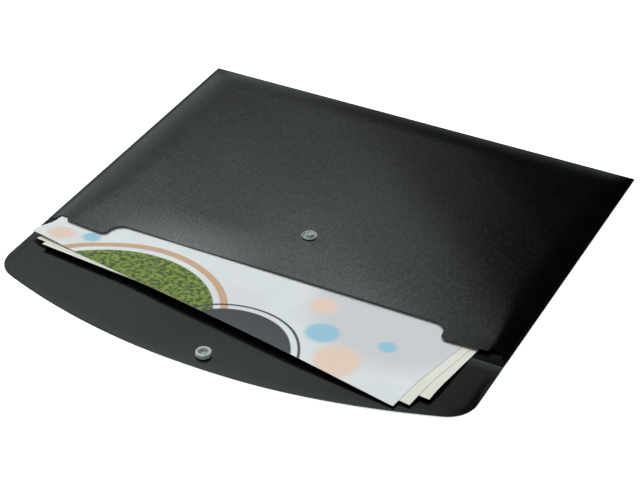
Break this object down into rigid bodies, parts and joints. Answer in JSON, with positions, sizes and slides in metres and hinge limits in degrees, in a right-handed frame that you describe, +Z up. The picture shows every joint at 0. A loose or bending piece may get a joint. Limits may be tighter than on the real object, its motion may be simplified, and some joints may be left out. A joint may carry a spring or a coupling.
{
  "type": "document wallet",
  "caption": "Flat A4 document wallet folded from black plastic film, with a double-creased closing flap, a press stud, a cut-out pocket mouth and loose sheets of paper inside.",
  "frame": {"origin": "centre of the back panel, on its underside", "axes": "+X along the pocket mouth, +Y from the mouth to the closed far fold, +Z up out of the front panel"},
  "size_m": [0.338, 0.3272, 0.0063],
  "materials": {
    "black_film": "fine matte emboss on black polypropylene film",
    "frosted_plastic": "frosted, slightly see-through moulded plastic",
    "plain_paper": "uncoated off-white paper",
    "printed_paper": null
  },
  "bodies": {
    "pocket": {"back_panel": "black_film", "front_panel": "black_film", "left_seam": "black_film", "right_seam": "black_film", "bottom_fold": "black_film", "stud": "frosted_plastic", "stud_cap": "frosted_plastic"},
    "spine": {"spine_strip": "black_film"},
    "flap": {"flap": "black_film", "socket": "frosted_plastic", "socket_cap": "frosted_plastic"},
    "bottom_sheet": {"bottom_sheet": "plain_paper"},
    "middle_sheet": {"middle_sheet": "plain_paper"},
    "top_sheet": {"top_sheet": "printed_paper"}
  },
  "joints": [
    {"name": "spine_fold", "type": "hinge", "parent": "pocket", "child": "spine", "pos_m": [0, -0.12, 0.00025], "axis": [-1, 0, 0], "range_deg": [0, 85.41], "deforming": ["bottom_sheet", "middle_sheet", "top_sheet"]},
    {"name": "flap_fold", "type": "hinge", "parent": "spine", "child": "flap", "pos_m": [0, -0.12748, 0.00085], "axis": [-1, 0, 0], "range_deg": [0, 94.6]},
    {"name": "bottom_sheet_slide", "type": "slide", "parent": "pocket", "child": "bottom_sheet", "axis": [-0.0924, -0.9957, 0.0064], "range_m": [0, 0.3]},
    {"name": "middle_sheet_slide", "type": "slide", "parent": "pocket", "child": "middle_sheet", "axis": [-0.1392, -0.9902, 0.0064], "range_m": [0, 0.3]},
    {"name": "top_sheet_slide", "type": "slide", "parent": "pocket", "child": "top_sheet", "axis": [-0.1702, -0.9854, 0.0064], "range_m": [0, 0.3]}
  ],
  "couplings": [
    {"joint": "flap_fold", "follows": "spine_fold", "ratio": 1.1074}
  ]
}
